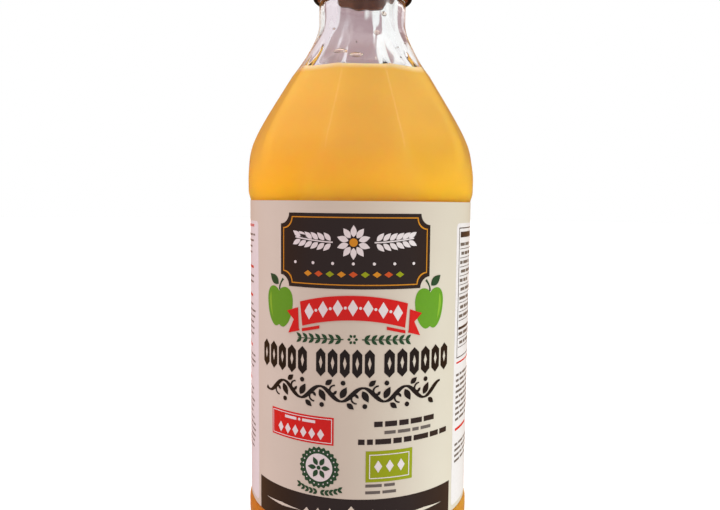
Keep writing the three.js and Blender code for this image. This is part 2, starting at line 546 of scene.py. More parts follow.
def bezier(a, b, c, d, steps):
    """Points on a cubic curve with its two handles."""
    points = []
    for i in range(steps + 1):
        t = i / steps
        weights = ((1 - t) ** 3, 3 * (1 - t) ** 2 * t, 3 * (1 - t) * t * t, t**3)
        points.append(tuple(sum(w * p[k] for w, p in zip(weights, (a, b, c, d))) for k in (0, 1)))
    return points


def smoothstep(value, low, high):
    """A smooth rise from 0 to 1."""
    t = min(max((value - low) / (high - low), 0), 1)
    return t * t * (3 - 2 * t)


def deselect():
    """Leaves nothing selected, so that an operator acts on the new piece alone."""
    if bpy.context.object is not None and bpy.context.object.mode != "OBJECT":
        bpy.ops.object.mode_set(mode="OBJECT")
    bpy.ops.object.select_all(action="DESELECT")


def edit_all():
    """Opens the active piece in edit mode with everything selected."""
    bpy.ops.object.mode_set(mode="EDIT")
    bpy.ops.mesh.select_all(action="SELECT")


def close_up(smooth_degrees):
    """Turns the active piece's faces outwards and smooths it up to an angle."""
    edit_all()
    bpy.ops.mesh.normals_make_consistent(inside=False)
    bpy.ops.object.mode_set(mode="OBJECT")
    bpy.ops.object.shade_smooth_by_angle(angle=math.radians(smooth_degrees))


def draw_curve(outlines, closed):
    """A curve object of straight-sided splines through lists of points."""
    deselect()
    bpy.ops.curve.primitive_nurbs_path_add()
    piece = bpy.context.object
    piece.data.splines.clear()
    for outline in outlines:
        spline = piece.data.splines.new("POLY")
        spline.points.add(len(outline) - 1)
        for point, place in zip(spline.points, outline):
            point.co = (*place, 1)
        spline.use_cyclic_u = closed
    return piece


def spin_outline(name, outline, sides, azimuth=0.0):
    """Draws half a section as (radius, height) points and spins it once round the axis."""
    east, south = math.sin(azimuth), math.cos(azimuth)
    piece = draw_curve([[(radius * east, -radius * south, height) for radius, height in outline]], False)
    piece.name = name
    bpy.ops.object.convert(target="MESH")
    edit_all()
    bpy.ops.mesh.spin(steps=sides, angle=2 * math.pi, center=(0, 0, 0), axis=(0, 0, 1))
    bpy.ops.mesh.select_all(action="SELECT")
    bpy.ops.mesh.remove_doubles(threshold=0.002 * MM)
    bpy.ops.object.mode_set(mode="OBJECT")
    close_up(35)
    return piece


def dress(piece, slot, *nodes, material=None):
    """Gives a finished piece its material and its body, and hides the solids that it stands for."""
    if material is not None:
        piece.data.materials.clear()
        piece.data.materials.append(material)
    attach(piece, BODY)
    if nodes:
        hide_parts(*nodes)
    return piece


# The shoulder: a round bulge that runs out into a cone, then a hollow curve up to the neck
SHOULDER_START = 112.5 * MM
SHOULDER_ROUND = 13.7 * MM
CONE_RADIUS = 21.97 * MM
CONE_HEIGHT = 148.95 * MM
CONE_ANGLE = math.radians(31.55)
CONE_RUN = 22.7 * MM
THROAT_RUN = 1.5 * MM
THROAT_ROUND = 7 * MM
NECK_START = 165.7 * MM

# The panels: where they fade in and out, how blunt the ridges between them are, how flat the outer
# and the inner wall are there, and how far the ridges stand out, and between which heights
PANELS_FADE_IN = (115 * MM, 126 * MM)
PANELS_FADE_OUT = (150 * MM, 163 * MM)
RIDGE_BLUNT = math.radians(2)
OUTER_PRESS = 0.8
INNER_PRESS = 0.5
SWELL = 0.028
SWELL_FADE_IN = (113 * MM, 128 * MM)
SWELL_FADE_OUT = (156 * MM, 165 * MM)

# Between these heights the glass grows from the thickness of the body to that of the neck
WALL_GROWS = (136 * MM, 154 * MM)


def shoulder_outline(settings):
    """The shoulder from the top of the body to the foot of the neck."""
    turn = Vector((CONE_RADIUS, CONE_HEIGHT))
    slope = Vector((-math.sin(CONE_ANGLE), math.cos(CONE_ANGLE)))
    bulge = bezier(
        (settings.body_radius, SHOULDER_START),
        (settings.body_radius, SHOULDER_START + SHOULDER_ROUND),
        turn - CONE_RUN * slope,
        turn,
        34,
    )
    throat = bezier(
        turn,
        turn + THROAT_RUN * slope,
        (settings.neck_radius, NECK_START - THROAT_ROUND),
        (settings.neck_radius, NECK_START),
        20,
    )
    return bulge + throat[1:]


def wall_at(settings, z):
    """Thickness of the glass at a height."""
    grown = smoothstep(z, *WALL_GROWS)
    return settings.wall + (settings.neck_radius - settings.bore_radius - settings.wall) * grown


def inner_outline(settings, outwards=0.0):
    """The shoulder's inner wall: its outline moved towards the axis, square to its own direction."""
    points = shoulder_outline(settings)
    moved = []
    for i, (r, z) in enumerate(points):
        before, after = points[max(i - 1, 0)], points[min(i + 1, len(points) - 1)]
        along = Vector((after[0] - before[0], after[1] - before[1])).normalized()
        distance = wall_at(settings, z) - outwards
        moved.append((r - along.y * distance, z + along.x * distance))
    return moved


def middle_of_wall(settings):
    """Heights and radii of the middle of the glass, from the shoulder up."""
    outline = [*shoulder_outline(settings), (settings.neck_radius, MOUTH_HEIGHT)]
    return [z for r, z in outline], [r - wall_at(settings, z) / 2 for r, z in outline]


def panel_scale(settings, turn, z, press):
    """How far a point of the shoulder moves: out on a ridge, and in towards mid-panel."""
    weight = press * smoothstep(z, *PANELS_FADE_IN) * (1 - smoothstep(z, *PANELS_FADE_OUT))
    swell = SWELL * smoothstep(z, *SWELL_FADE_IN) * (1 - smoothstep(z, *SWELL_FADE_OUT))
    half = math.pi / settings.panels
    crest = (1 + 2 * math.cos(half) / math.cos(half - RIDGE_BLUNT)) / 3
    flat = 0
    for nudge in (-RIDGE_BLUNT, 0, RIDGE_BLUNT):
        middle = (turn - settings.ridge + nudge) % (2 * half) - half
        flat += math.cos(half) / math.cos(middle) / 3
    return 1 + swell + (flat / crest - 1) * weight


def press_panels(piece, settings, inside=False):
    """Draws the shoulder's points in between its ridges: flat outside, rounder on the inner wall."""
    heights, radii = middle_of_wall(settings)
    for vertex in piece.data.vertices:
        x, y, z = vertex.co
        if not SWELL_FADE_IN[0] < z < SWELL_FADE_OUT[1]:
            continue
        within = inside or math.hypot(x, y) < np.interp(z, heights, radii)
        scale = panel_scale(settings, math.atan2(x, -y), z, INNER_PRESS if within else OUTER_PRESS)
        vertex.co.x, vertex.co.y = x * scale, y * scale


# The ripples in the inner wall: how close they lie round the axis, and how tall one is. The level
# ones fade in between two heights, and both kinds near the fill and near the mouth.
UPRIGHT_ROUND, UPRIGHT_TALL = 2.6, 11 * MM
LEVEL_ROUND, LEVEL_TALL = 1.9, 2.1 * MM
LEVEL_FADE_IN = (155 * MM, 160 * MM)
FILL_FADE = 4 * MM
MOUTH_FADE = (4 * MM, 1 * MM)


def ripple_bore(piece, settings):
    """Blown glass flows unevenly: upright ripples in the inner wall, and level ones up the neck."""
    heights, radii = middle_of_wall(settings)
    for vertex in piece.data.vertices:
        x, y, z = vertex.co
        rise = smoothstep(z, FILL_HEIGHT, FILL_HEIGHT + FILL_FADE)
        fall = smoothstep(z, MOUTH_HEIGHT - MOUTH_FADE[0], MOUTH_HEIGHT - MOUTH_FADE[1])
        weight = rise * (1 - fall)
        radius = math.hypot(x, y)
        if weight == 0 or radius > np.interp(z, heights, radii):
            continue
        east, south = x / radius, y / radius
        upright = noise.noise(Vector((UPRIGHT_ROUND * east, UPRIGHT_ROUND * south, z / UPRIGHT_TALL)))
        level = noise.noise(Vector((LEVEL_ROUND * east, LEVEL_ROUND * south, z / LEVEL_TALL)))
        level *= smoothstep(z, *LEVEL_FADE_IN)
        scale = 1 + weight * (settings.ripple * upright + settings.level_ripple * level) / radius
        vertex.co.x, vertex.co.y = x * scale, y * scale


def hollow_outline(settings, outwards=0.0):
    """The inside of the glass, from the middle of the floor up to the foot of the neck."""
    radius = settings.body_radius - settings.wall + outwards
    corner = 6 * MM + outwards
    floor = settings.floor - outwards
    return [
        (0, floor + 1.6 * MM),
        (radius * 0.3, floor + 1.5 * MM),
        (radius * 0.6, floor + 0.8 * MM),
        *arc(radius - corner, floor + corner, corner, -90, 0, 12),
        (radius, 60 * MM),
        *inner_outline(settings, outwards),
    ]


class BOTTLE_OT_glass(bpy.types.Operator):
    """Blows the glass: heel, label recess, panelled shoulder, neck and mouth"""

    bl_idname = "bottle.glass"
    bl_label = "Glass"

    def execute(self, context):
        s = context.scene.bottle_glass
        band = s.body_radius - 0.1 * MM
        lip = 0.8 * MM
        outside = [
            # The shallow hollow under the base, the ring that it stands on and the heel
            (0, 2.2 * MM),
            (s.stand_radius * 0.35, 2.1 * MM),
            (s.stand_radius * 0.7, 1.4 * MM),
            (s.stand_radius * 0.93, 0.25 * MM),
            (s.stand_radius, 0),
            *arc(band - s.heel_radius, s.heel_radius, s.heel_radius, -90, 0, 14),
            # The step into the label's recess
            *bezier(
                (band, 10.6 * MM),
                (band, 12.2 * MM),
                (s.panel_radius, 11.6 * MM),
                (s.panel_radius, 13.2 * MM),
                8,
            ),
            (s.panel_radius, 60 * MM),
            # The step out to the band above the label, and the shoulder
            *bezier(
                (s.panel_radius, 108.6 * MM),
                (s.panel_radius, 110.2 * MM),
                (s.body_radius, 110.4 * MM),
                (s.body_radius, SHOULDER_START),
                12,
            ),
            *shoulder_outline(s)[1:],
            # The neck, and the finish that the cap sits on
            (s.neck_radius, 169 * MM),
            *bezier(
                (s.neck_radius, 171.6 * MM),
                (s.neck_radius, 172.6 * MM),
                (s.finish_radius, 172.6 * MM),
                (s.finish_radius, 173.6 * MM),
                5,
            ),
            # The mouth's rounded lip, and the bore
            *arc(s.finish_radius - lip, MOUTH_HEIGHT - lip, lip, 0, 90, 5),
            *arc(s.bore_radius + lip, MOUTH_HEIGHT - lip, lip, 90, 180, 5),
            (s.bore_radius, 184 * MM),
            (s.bore_radius, 178 * MM),
            (s.bore_radius, 172 * MM),
        ]
        inside = hollow_outline(s)[::-1]
        piece = spin_outline("bottle_glass", outside + inside, 36 * s.panels, s.ridge)
        press_panels(piece, s)
        ripple_bore(piece, s)
        dress(piece, "bottle_glass", "bottle", material=flint_glass(s))
        return {"FINISHED"}


class BOTTLE_OT_vinegar(bpy.types.Operator):
    """Pours the vinegar: it fills the glass to its level and climbs the wall a little"""

    bl_idname = "bottle.vinegar"
    bl_label = "Vinegar"

    def execute(self, context):
        s = context.scene.bottle_glass
        overlap = 0.12 * MM
        climb = 0.3 * MM
        wall = [(r, z) for r, z in hollow_outline(s, overlap) if z < FILL_HEIGHT + climb]
        edge, top = wall[-1]
        surface = bezier(
            (edge, top),
            (edge - 0.5 * MM, FILL_HEIGHT + 0.1 * MM),
            (edge - 1.6 * MM, FILL_HEIGHT),
            (edge - 3.2 * MM, FILL_HEIGHT),
            8,
        )
        outline = [*wall, *surface[1:], (edge * 0.5, FILL_HEIGHT), (0, FILL_HEIGHT)]
        piece = spin_outline("vinegar_fill", outline, 24 * s.panels, s.ridge)
        press_panels(piece, s, inside=True)
        dress(piece, "vinegar", "vinegar", material=cloudy_vinegar(context.scene.bottle_vinegar))
        return {"FINISHED"}


class BOTTLE_OT_drops(bpy.types.Operator):
    """Leaves a few drops of vinegar on the inner wall above the level"""

    bl_idname = "bottle.drops"
    bl_label = "Drops"

    def execute(self, context):
        s = context.scene.bottle_glass
        chance = random.Random(7)
        # Each drop's azimuth in degrees, its height and radius in millimetres, and how tall it is for
        # its width
        spots = [(-27, 152.9, 1.7, 0.5), (-7, 151.5, 2.1, 0.42), (23, 159.5, 0.9, 1), (40, 166.8, 0.8, 1)]
        for i in range(12):
            turn = 24 * i + chance.uniform(-9, 9) + 50
            size, aspect = chance.uniform(0.3, 0.6), chance.uniform(0.6, 1.2)
            spots.append((turn, chance.uniform(150.5, 163), size, aspect))
        inner = inner_outline(s)
        inner.append((s.bore_radius, MOUTH_HEIGHT))
        heights = [z for r, z in inner]
        radii = [r for r, z in inner]
        sunk = 0.05 * MM
        flatness = 0.45
        deselect()
        drops = []
        for degrees, millimetres, size, aspect in spots:
            z, azimuth = millimetres * MM, math.radians(degrees)
            radius = np.interp(z, heights, radii)
            slope = (np.interp(z + MM, heights, radii) - radius) / MM
            radius *= panel_scale(s, azimuth, z, INNER_PRESS)
            bpy.ops.mesh.primitive_uv_sphere_add(segments=24, ring_count=14, radius=size * MM)
            drop = bpy.context.object
            edit_all()
            bpy.ops.transform.resize(value=(1, flatness, aspect))
            bpy.ops.mesh.select_all(action="SELECT")
            bpy.ops.mesh.bisect(
                plane_co=(0, -sunk, 0), plane_no=(0, 1, 0), use_fill=True, clear_inner=True
            )
            bpy.ops.object.mode_set(mode="OBJECT")
            lean = Matrix.Rotation(math.atan(slope), 4, "X")
            turn = Matrix.Rotation(azimuth, 4, "Z")
            drop.data.transform(turn @ Matrix.Translation((0, -radius, z)) @ lean)
            drops.append(drop)
        deselect()
        for drop in drops:
            drop.select_set(True)
        bpy.context.view_layer.objects.active = drops[0]
        bpy.ops.object.join()
        piece = bpy.context.object
        piece.name = "vinegar_drops"
        close_up(60)
        dress(piece, "vinegar", material=vinegar_drops(context.scene.bottle_vinegar))
        return {"FINISHED"}


# The cap's band hangs on this many small bridges, which lie this far under its outer face; a bridge
# is where the cosine passes this value
BRIDGES = 12
BRIDGE_EDGE = 0.96
BRIDGE_DEPTH = 0.15 * MM


class BOTTLE_OT_cap(bpy.types.Operator):
    """Moulds the screw cap: a smooth band with bridges, a ribbed skirt and a shallow dished top"""

    bl_idname = "bottle.cap"
    bl_label = "Cap"

    def execute(self, context):
        s = context.scene.bottle_cap
        height = CAP_TOP - CAP_BOTTOM
        skirt = s.band + s.groove
        edge = 1.4 * MM
        groove_depth = 0.6 * MM
        dish = 0.35 * MM
        ring = 0.15 * MM
        outline = [
            # The inside, down to the rim
            (0, height - s.top),
            (s.bore - 1 * MM, height - s.top),
            (s.bore, height - s.top - 0.8 * MM),
            (s.bore, skirt),
            (s.bore, 0.5 * MM),
            (s.bore + 0.4 * MM, 0),
            # The smooth band and the groove above it
            *arc(s.radius - 0.45 * MM, 0.45 * MM, 0.45 * MM, -90, 0, 6),
            (s.radius, s.band - 0.3 * MM),
            *arc(s.radius - 0.25 * MM, s.band - 0.25 * MM, 0.25 * MM, 0, 90, 4),
            (s.radius - groove_depth, s.band),
            (s.radius - groove_depth, skirt),
            # The skirt, whose ribs are pressed in below, and its rounded shoulder
            (s.radius - 0.3 * MM, skirt),
            (s.radius, skirt + 0.35 * MM),
            (s.radius, skirt + 1 * MM),
            (s.radius, height - edge - 1.4 * MM),
            (s.radius, height - edge - 0.7 * MM),
            *arc(s.radius - edge, height - edge, edge, 0, 90, 10),
            # The shallow dish in the top, with a low ring
            (s.radius - 2.6 * MM, height),
            (s.radius - 3.2 * MM, height - dish),
            (s.radius - 8 * MM, height - dish),
            (s.radius - 8.2 * MM, height - dish + ring),
            (s.radius - 8.6 * MM, height - dish + ring),
            (s.radius - 8.8 * MM, height - dish),
            (0, height - dish),
        ]
        lifted = [(r, z + CAP_BOTTOM) for r, z in outline]
        piece = spin_outline("screw_cap", lifted, 6 * s.ribs)
        low = CAP_BOTTOM + skirt + 0.3 * MM
        high = CAP_TOP - edge
        for vertex in piece.data.vertices:
            x, y, z = vertex.co
            radius = math.hypot(x, y)
            turn = math.atan2(x, -y)
            if radius > s.radius - 0.2 * MM and low < z <= high:
                ramp = smoothstep(z, low, low + 0.8 * MM) * (1 - smoothstep(z, high - 0.9 * MM, high))
                moved = radius - s.rib_depth * ramp * (0.5 - 0.5 * math.cos(s.ribs * turn))
            elif abs(radius - s.radius + groove_depth) < 0.01 * MM:
                bridge = math.cos(BRIDGES * turn) > BRIDGE_EDGE
                moved = s.radius - BRIDGE_DEPTH if bridge else radius
            else:
                continue
            vertex.co.x, vertex.co.y = x * moved / radius, y * moved / radius
        close_up(35)
        dress(piece, "cap_plastic", "cap", material=cap_polypropylene(s))
        return {"FINISHED"}


# The label is drawn flat in millimetres: x from the print's middle, y up from the label's top edge.
# Paper and inks are cut along the same lines, so many upright and so many level ones to the whole
# label, so that they bend alike. Each layer of ink stands a step higher, on a foot in the paper.
FOLDS = 148
ROWS = 32
INK_STEP = 0.05
INK_FOOT = 0.02

# The paper's slight swell: how high it is, how close it lies round the axis, and how tall it is
PAPER_SWELL = 0.07
SWELL_ROUND = 2.2
SWELL_TALL = 19


def paper_width(settings):
    """Length of the paper round the bottle, from end to end, in millimetres."""
    return (2 * math.pi * settings.radius - settings.seam) / MM


def bend(piece, settings):
    """Bends a flat piece round the bottle, with the slight swell that paper has on glass."""
    for vertex in piece.data.vertices:
        x, y, lift = vertex.co
        turn = (x * MM + settings.turn) / settings.radius
        spot = Vector((SWELL_ROUND * math.sin(turn), SWELL_ROUND * math.cos(turn), y / SWELL_TALL))
        radius = settings.radius + (lift + PAPER_SWELL * noise.noise(spot)) * MM
        vertex.co = (radius * math.sin(turn), -radius * math.cos(turn), LABEL_TOP + y * MM)


def slice_up(piece, settings):
    """Cuts a flat piece along the paper's upright and level lines."""
    edit_all()
    turn = settings.turn / MM
    row = (LABEL_TOP - LABEL_BOTTOM) / MM / ROWS
    corners = [vertex.co.copy() for vertex in piece.data.vertices]
    for axis, step, shift in ((0, paper_width(settings) / FOLDS, turn), (1, row, 0)):
        low = min(corner[axis] for corner in corners) + shift
        high = max(corner[axis] for corner in corners) + shift
        normal = (1 - axis, axis, 0)
        for k in range(math.ceil(low / step), math.floor(high / step) + 1):
            place = k * step - shift
            bpy.ops.mesh.select_all(action="SELECT")
            bpy.ops.mesh.bisect(plane_co=(place * normal[0], place * normal[1], 0), plane_no=normal)
    bpy.ops.object.mode_set(mode="OBJECT")


class BOTTLE_OT_paper(bpy.types.Operator):
    """Wraps the cream paper round the bottle"""

    bl_idname = "bottle.paper"
    bl_label = "Label paper"

    def execute(self, context):
        s = context.scene.bottle_label
        height = (LABEL_TOP - LABEL_BOTTOM) / MM
        deselect()
        bpy.ops.mesh.primitive_grid_add(x_subdivisions=FOLDS, y_subdivisions=ROWS, size=1)
        piece = bpy.context.object
        piece.name = "label_paper"
        fit = Matrix.Diagonal((paper_width(s), height, 1, 1))
        piece.data.transform(Matrix.Translation((-s.turn / MM, -height / 2, 0)) @ fit)
        bend(piece, s)
        thick = piece.modifiers.new("thickness", "SOLIDIFY")
        thick.thickness = s.paper
        thick.offset = -1
        bpy.ops.object.modifier_apply(modifier=thick.name)
        close_up(30)
        dress(piece, "label_paper", "label", material=coated_paper(s))
        return {"FINISHED"}


def ink(settings, name):
    """The ink of this name, mixed the first time it is asked for."""
    known = bpy.data.materials.get(f"{name}_ink")
    return known or offset_ink(f"{name}_ink", getattr(settings, name))


def draw_layer(material, level, outlines):
    """One layer of ink, as a thin flat solid; an outline inside another leaves a hole."""
    layer = draw_curve([[(x, y, 0) for x, y in outline] for outline in outlines], True)
    layer.data.dimensions = "2D"
    layer.data.fill_mode = "BOTH"
    top = level * INK_STEP
    layer.data.extrude = (top + INK_FOOT) / 2
    bpy.ops.object.convert(target="MESH")
    edit_all()
    bpy.ops.mesh.remove_doubles(threshold=0.002)
    bpy.ops.transform.translate(value=(0, 0, (top - INK_FOOT) / 2))
    bpy.ops.object.mode_set(mode="OBJECT")
    layer.data.materials.append(material)
    return layer


def print_piece(context, name, layers):
    """Prints layers, each given as its ink, its level and its outlines, and bends them as one piece."""
    s = context.scene.bottle_label
    drawn = [draw_layer(ink(s, key), level, outlines) for key, level, outlines in layers]
    deselect()
    for layer in drawn:
        layer.select_set(True)
    bpy.context.view_layer.objects.active = drawn[0]
    if len(drawn) > 1:
        bpy.ops.object.join()
    piece = bpy.context.object
    piece.name = name
    slice_up(piece, s)
    bend(piece, s)
    close_up(30)
    return dress(piece, "label_paper")


def box(x0, y0, x1, y1):
    """A plain rectangle."""
    return [(x0, y0), (x1, y0), (x1, y1), (x0, y1)]


def disc(x, y, radius, points=28):
    """A round dot."""
    turns = [2 * math.pi * i / points for i in range(points)]
    return [(x + radius * math.cos(t), y + radius * math.sin(t)) for t in turns]


def lozenge(x, y, width, height):
    """An upright diamond."""
    return [(x + width / 2, y), (x, y + height / 2), (x - width / 2, y), (x, y - height / 2)]


def picket(x, y, width, height, point):
    """A tall bar with a pointed top and bottom."""
    side, end = width / 2, height / 2
    return [
        (x, y + end),
        (x - side, y + end - point),
        (x - side, y - end + point),
        (x, y - end),
        (x + side, y - end + point),
        (x + side, y + end - point),
    ]


def leaf(x, y, long, wide, degrees, points=9):
    """A pointed leaf that grows from (x, y) in a direction."""
    along = Vector((math.cos(math.radians(degrees)), math.sin(math.radians(degrees))))
    across = Vector((-along.y, along.x))
    outline = []
    for side, start in ((1, 0), (-1, points)):
        for i in range(points):
            t = abs(start - i) / points
            off = side * wide / 2 * math.sin(math.pi * t**0.85)
            outline.append(tuple(Vector((x, y)) + long * t * along + off * across))
    return outline


def stroke(path, widths):
    """A pen stroke along a path, as wide at each point as given."""
    left, right = [], []
    for i, (x, y) in enumerate(path):
        before, after = path[max(i - 1, 0)], path[min(i + 1, len(path) - 1)]
        along = Vector((after[0] - before[0], after[1] - before[1])).normalized()
        half = widths[i] / 2
        left.append((x - along.y * half, y + along.x * half))
        right.append((x + along.y * half, y - along.x * half))
    return left + right[::-1]


def rounded(x0, y0, x1, y1, radius):
    """A rectangle with rounded corners."""
    outline = []
    for x, y, start in ((x1, y1, 0), (x0, y1, 90), (x0, y0, 180), (x1, y0, 270)):
        centre_x = x - radius if x == x1 else x + radius
        centre_y = y - radius if y == y1 else y + radius
        outline += arc(centre_x, centre_y, radius, start, start + 90, 6)
    return outline


def scooped(x0, y0, x1, y1, radius):
    """A rectangle whose corners are scooped out in quarter rounds."""
    outline = []
    for x, y, start in ((x1, y1, 180), (x1, y0, 90), (x0, y0, 0), (x0, y1, 270)):
        outline += arc(x, y, radius, start, start + 90, 8)
    return outline


def flower(x, y, inner, long, wide):
    """Six petals round a point."""
    petals = []
    for k in range(6):
        t = math.pi / 3 * k
        petals.append(leaf(x + inner * math.cos(t), y + inner * math.sin(t), long, wide, 60 * k))
    return petals


def mirrored(outlines):
    """The same outlines, turned over left to right."""
    return [[(-x, y) for x, y in outline] for outline in outlines]


def shifted(outlines, dx, dy):
    """The same outlines, moved."""
    return [[(x + dx, y + dy) for x, y in outline] for outline in outlines]


def dashes(chance, x0, x1, y, height):
    """A row of dashes of uneven length, as wide as a line of small print."""
    row = []
    while x0 < x1 - 1:
        x2 = min(x0 + chance.uniform(1.6, 5.2), x1)
        row.append(box(x0, y, x2, y + height))
        x0 = x2 + 0.7
    return row


class BOTTLE_OT_plate(bpy.types.Operator):
    """Prints the dark plate: a gold line round a daisy, two leafy sprigs and a row of lozenges"""

    bl_idname = "bottle.plate"
    bl_label = "Dark plate"

    def execute(self, context):
        middle = -11.4
        petals = []
        for k in range(10):
            turn = 36 * k + 18
            x, y = 1.5 * math.cos(math.radians(turn)), 1.5 * math.sin(math.radians(turn))
            petals.append(leaf(x, middle + y, 3.3, 1.7, turn))
        leaves = []
        for i in range(6):
            x = 6.4 + 1.85 * i
            y = middle + 0.03 * (x - 6) ** 1.5
            leaves.append(leaf(x, y + 0.4, 3, 1.4, 48 - 3 * i))
            leaves.append(leaf(x, y - 0.4, 3, 1.4, -44 + 3 * i))
        stem = [(5.8 + 11.5 * i / 12, middle + 0.03 * (11.5 * i / 12) ** 1.5) for i in range(13)]
        stems = [stroke(stem, [0.35] * len(stem))]
        dots = [disc(5.8 * i, -17.3, 0.42) for i in range(-3, 4)]
        row = [lozenge(3.3 * i, -20.3, 2.5, 1.7) for i in range(-4, 5)]
        line = [scooped(-21.9, -23.4, 21.9, -4.4, 3.2), scooped(-21.6, -23.1, 21.6, -4.7, 3.2)]
        print_piece(
            context,
            "print_plate",
            [
                ("black", 1, [scooped(-22.9, -24.4, 22.9, -3.4, 3.2)]),
                ("gold", 2, line),
                ("white", 2, petals + leaves + mirrored(leaves) + dots),
                ("white", 3, stems + mirrored(stems)),
                ("gold", 2.5, [disc(0, middle, 1.15), *row[0::3]]),
                ("orange", 2, row[1::3]),
                ("lime", 2, row[2::3]),
            ],
        )
        return {"FINISHED"}


class BOTTLE_OT_ribbon(bpy.types.Operator):
    """Prints the arched red ribbon, with its swallow tails and a row of lozenges"""

    bl_idname = "bottle.ribbon"
    bl_label = "Ribbon"

    def execute(self, context):
        half = 15.75
        steps = 20
        arch = 105
        across = [half * (2 * i / steps - 1) for i in range(steps + 1)]
        top = [(x, -26.2 - x * x / arch) for x in across]
        bottom = [(0.95 * x, -33.1 - x * x / arch) for x in across]
        tail = [(16.5, -30.3), (20.4, -31.6), (17.9, -33.9), (19.9, -38), (15.9, -36.9), (16.2, -36.3)]
        under = [(9.6, -34.9), (15.1, -36.2), (15.1, -37.1), (9.6, -35.8)]
        marks = []
        for i in range(-3, 4):
            x = 4.25 * i
            marks.append(lozenge(x, -29.6 - x * x / arch, 2.9, 4.7))
        dots = []
        for i in range(-3, 3):
            x = 4.25 * (i + 0.5)
            dots.append(disc(x, -29.6 - x * x / arch, 0.42, 16))
        print_piece(
            context,
            "print_ribbon",
            [
                ("red", 3, [top + bottom[::-1], tail, under, *mirrored([tail, under])]),
                ("white", 3.5, marks + dots),
            ],
        )
        return {"FINISHED"}


class BOTTLE_OT_apples(bpy.types.Operator):
    """Prints a green apple on each side of the ribbon"""

    bl_idname = "bottle.apples"
    bl_label = "Apples"

    def execute(self, context):
        right = [
            *bezier((0, -1.3), (0.6, -0.3), (1.7, 0.2), (3, 0), 6),
            *bezier((3, 0), (4.8, -0.4), (5.5, -2.4), (5.3, -4.6), 8)[1:],
            *bezier((5.3, -4.6), (5.1, -7.6), (4.1, -10.4), (2.2, -11.5), 8)[1:],
            *bezier((2.2, -11.5), (1.5, -11.9), (0.7, -11.7), (0, -11.1), 4)[1:],
        ]
        left = [(-0.97 * x, y) for x, y in right[::-1]]
        skin = [right + left[1:-1]]
        light = [
            [
                *bezier((-3.5, -1.7), (-4.8, -3.4), (-4.2, -6.8), (-2.6, -9.4), 8),
                *bezier((-2.6, -9.4), (-3.3, -6.6), (-3.3, -4), (-3.5, -1.7), 8)[1:-1],
            ]
        ]
        stalk = [stroke([(0.2, -0.9), (0.3, 0.2), (0.9, 1.4), (1.7, 2.4)], [0.5, 0.45, 0.45, 0.7])]
        blade = [leaf(-0.2, 0.7, 4.6, 2.5, 142)]
        for name, turn, place in (
            ("print_apple_left", lambda outlines: outlines, (-23.7, -24.9)),
            ("print_apple_right", mirrored, (23.4, -24.6)),
        ):
            print_piece(
                context,
                name,
                [
                    ("green", 1, shifted(turn(skin), *place)),
                    ("light_green", 1.5, shifted(turn(light), *place)),
                    ("dark_green", 1.5, shifted(turn(stalk), *place)),
                    ("dark_green", 2, shifted(turn(blade), *place)),
                ],
            )
        return {"FINISHED"}


class BOTTLE_OT_garland(bpy.types.Operator):
    """Prints the garland of small dark-green leaves under the ribbon"""

    bl_idname = "bottle.garland"
    bl_label = "Garland"

    def execute(self, context):
        leaves = []
        for i in range(7):
            x = 3.3 + 2 * i
            y = -38.6 - 0.0015 * x * x
            leaves.append(leaf(x, y + 0.12, 2.1, 0.95, 38))
            leaves.append(leaf(x, y - 0.12, 2.1, 0.95, -38))
        rule = [stroke([(2.6, -38.55), (9, -38.65), (16.5, -39)], [0.28, 0.28, 0.2])]
        print_piece(
            context,
            "print_garland",
            [
                ("dark_green", 1, leaves + mirrored(leaves) + flower(0, -38.5, 0.55, 1, 0.8)),
                ("dark_green", 2, rule + mirrored(rule)),
            ],
        )
        return {"FINISHED"}


class BOTTLE_OT_pickets(bpy.types.Operator):
    """Prints the big black row: tall pickets in three groups, each with an open lozenge"""

    bl_idname = "bottle.pickets"
    bl_label = "Black row"

    def execute(self, context):
        middle, height = -45.4, 8.2
        outlines = []
        for start, end, count in ((-31.6, -13.1, 5), (-10.9, 6.6, 5), (8.6, 31.6, 6)):
            step = (end - start) / count
            for i in range(count):
                x = start + step * (i + 0.5)
                outlines.append(picket(x, middle, 0.8 * step, height, 1.5))
                outlines.append(lozenge(x, middle, 0.3 * step, 3.8))
        print_piece(context, "print_pickets", [("jet", 1, outlines)])
        return {"FINISHED"}


class BOTTLE_OT_scroll(bpy.types.Operator):
    """Prints the black scroll: a waving vine with leaves, curls and berries"""

    bl_idname = "bottle.scroll"
    bl_label = "Scroll"

    def execute(self, context):
        middle, wave, reach = -54.3, 12.4, 2.0
        steps = 84
        path = []
        for i in range(steps + 1):
            x = -29.5 + 57.5 * i / steps
            path.append((x, middle + reach * math.sin(2 * math.pi * x / wave)))
        widths = [0.5 + 0.8 * abs(math.cos(2 * math.pi * x / wave)) for x, y in path]
        leaves, berries, curls = [], [], []
        for k in range(-4, 5):
            side = 1 if k % 2 == 0 else -1
            x = wave * (k + 0.5) / 2 + 0.2
            if not -28 < x < 27:
                continue
            crest = middle + reach * side
            leaves.append(leaf(x - 0.4, crest - side * 0.9, 3.7, 1.9, -side * 62))
            leaves.append(leaf(x + 1.4, crest + side * 0.5, 2.6, 1.5, side * 40))
            berries.append(disc(x + 0.3, crest - side * 5.3, 0.7, 16))
            centre_x, centre_y = x - 2.3, crest - side * 2.9
            spiral = []
            for t in (math.radians(20 * step) for step in range(15)):
                radius = 0.35 + 0.27 * t
                spiral.append((centre_x + radius * math.cos(t), centre_y + side * radius * math.sin(t)))
            curls.append(stroke(spiral, [0.85 - 0.03 * i for i in range(len(spiral))]))
        print_piece(
            context,
            "print_scroll",
            [
                ("jet", 1, [stroke(path, widths)]),
                ("jet", 2, leaves + berries),
                ("jet", 1.5, curls),
            ],
        )
        return {"FINISHED"}


